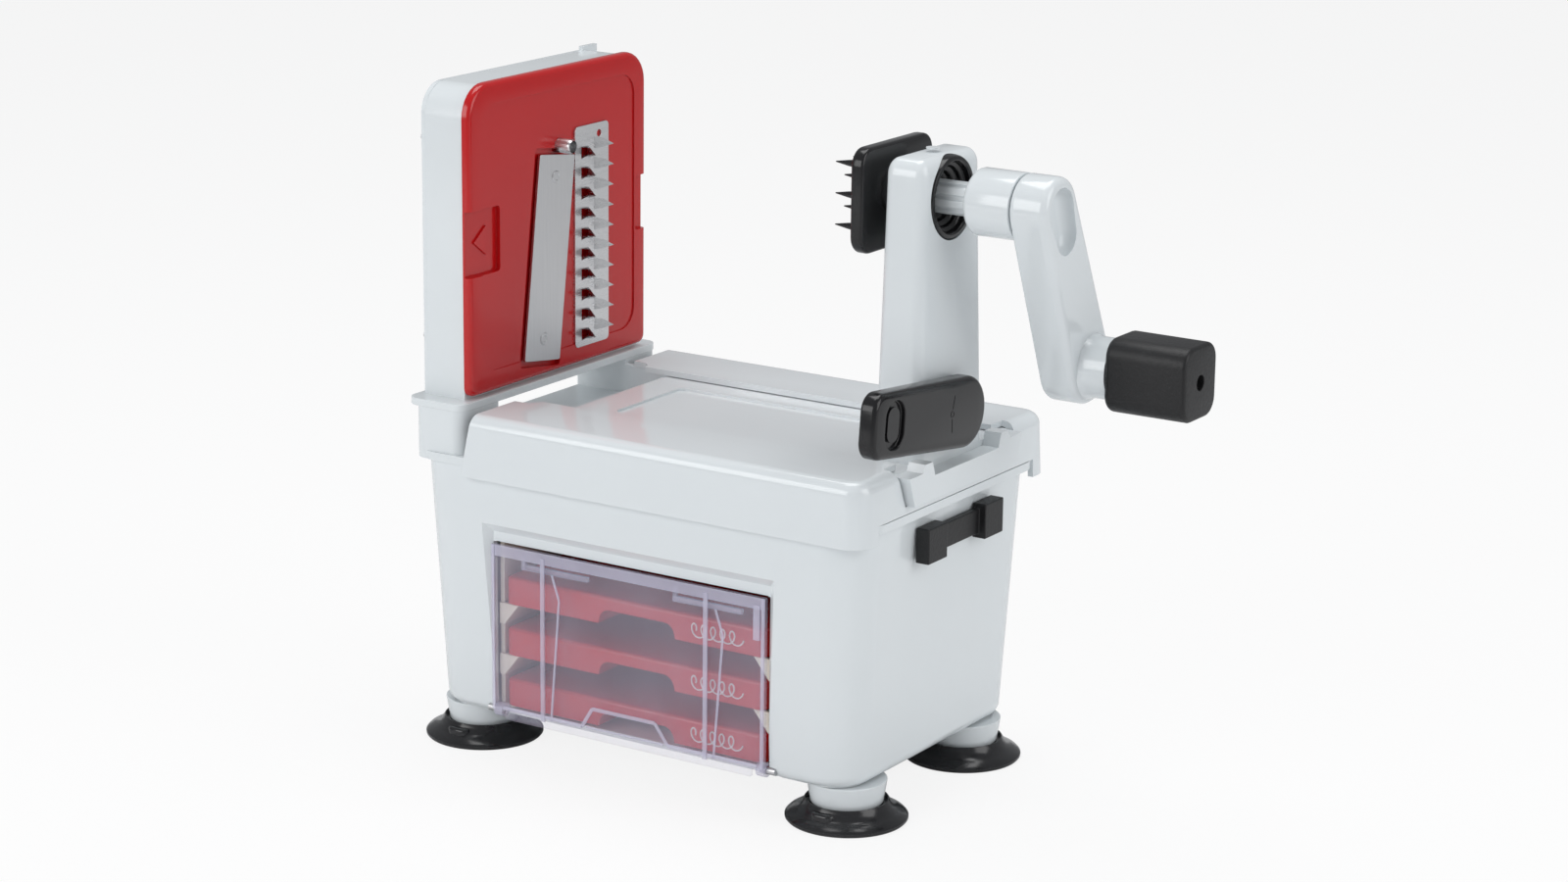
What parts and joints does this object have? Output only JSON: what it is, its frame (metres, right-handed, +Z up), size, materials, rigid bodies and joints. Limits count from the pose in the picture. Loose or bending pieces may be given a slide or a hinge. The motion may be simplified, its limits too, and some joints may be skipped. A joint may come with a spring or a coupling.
{
  "type": "spiral vegetable slicer",
  "caption": "Hand-cranked spiral vegetable slicer: suction-footed base with clear cassette bay, sliding board with crank post, and an upright blade cassette in a lift-off frame.",
  "frame": {"origin": "on the table, midway between the four suction cups", "axes": "+X from the blades towards the crank, +Y to the back, +Z up"},
  "size_m": [0.3073, 0.1439, 0.2706],
  "materials": {
    "white_plastic": "glossy cool-white moulded plastic",
    "black_plastic": "satin black plastic",
    "black_gloss": "polished black plastic",
    "black_rubber": "soft black rubber",
    "red_plastic": "glossy red moulded plastic",
    "cream_plastic": "unpigmented cream plastic",
    "clear_plastic": "clear polypropylene",
    "steel": "satin stainless steel"
  },
  "bodies": {
    "base": {"housing": "white_plastic", "base_plate": "white_plastic", "slide_bed": "white_plastic", "hood": "white_plastic", "foot_bosses": "white_plastic", "suction_cups": "black_rubber", "cup_screws": "steel", "rack_left": "cream_plastic", "rack_right": "cream_plastic", "spare_cassettes": "red_plastic", "spare_blades": "steel", "door_pins": "steel"},
    "door": {"door": "clear_plastic"},
    "lock": {"lock_slider": "black_plastic"},
    "carriage": {"sliding_board": "white_plastic", "post": "white_plastic", "post_screws": "steel", "bearing_ring": "black_gloss", "lever_pin": "steel"},
    "lever": {"clamp_lever": "black_gloss"},
    "crank": {"drive_shaft": "white_plastic", "shaft_clip": "steel", "food_holder": "black_plastic", "crank_hub": "white_plastic", "crank_arm": "white_plastic", "grip_axle": "steel", "axle_screw": "black_plastic"},
    "grip": {"grip": "black_plastic"},
    "frame": {"blade_frame": "white_plastic", "frame_cover": "white_plastic", "cover_screws": "steel"},
    "cassette": {"cassette": "red_plastic", "straight_blade": "steel", "blade_rivets": "steel", "comb_plate": "steel", "core_cutter": "steel"}
  },
  "joints": [
    {"name": "door_hinge", "type": "hinge", "parent": "base", "child": "door", "pos_m": [0, -0.0629, 0.0197], "axis": [1, 0, 0], "range_deg": [0, 90]},
    {"name": "lock_slide", "type": "slide", "parent": "base", "child": "lock", "axis": [0, 1, 0], "range_m": [-0.008, 0]},
    {"name": "board_slide", "type": "slide", "parent": "base", "child": "carriage", "axis": [1, 0, 0], "range_m": [-0.122, 0]},
    {"name": "lever_turn", "type": "hinge", "parent": "carriage", "child": "lever", "pos_m": [0.1068, -0.003, 0.1567], "axis": [-1, 0, 0], "range_deg": [0, 80]},
    {"name": "crank_turn", "type": "hinge", "parent": "carriage", "child": "crank", "pos_m": [0.134, 0, 0.2384], "axis": [1, 0, 0], "continuous": true},
    {"name": "grip_spin", "type": "hinge", "parent": "crank", "child": "grip", "pos_m": [0.1613, 0.02849, 0.1738], "axis": [1, 0, 0], "continuous": true},
    {"name": "frame_lift", "type": "slide", "parent": "base", "child": "frame", "axis": [0, 0, 1], "range_m": [0, 0.03]},
    {"name": "cassette_pull", "type": "slide", "parent": "frame", "child": "cassette", "axis": [1, 0, 0], "range_m": [0, 0.028]}
  ]
}
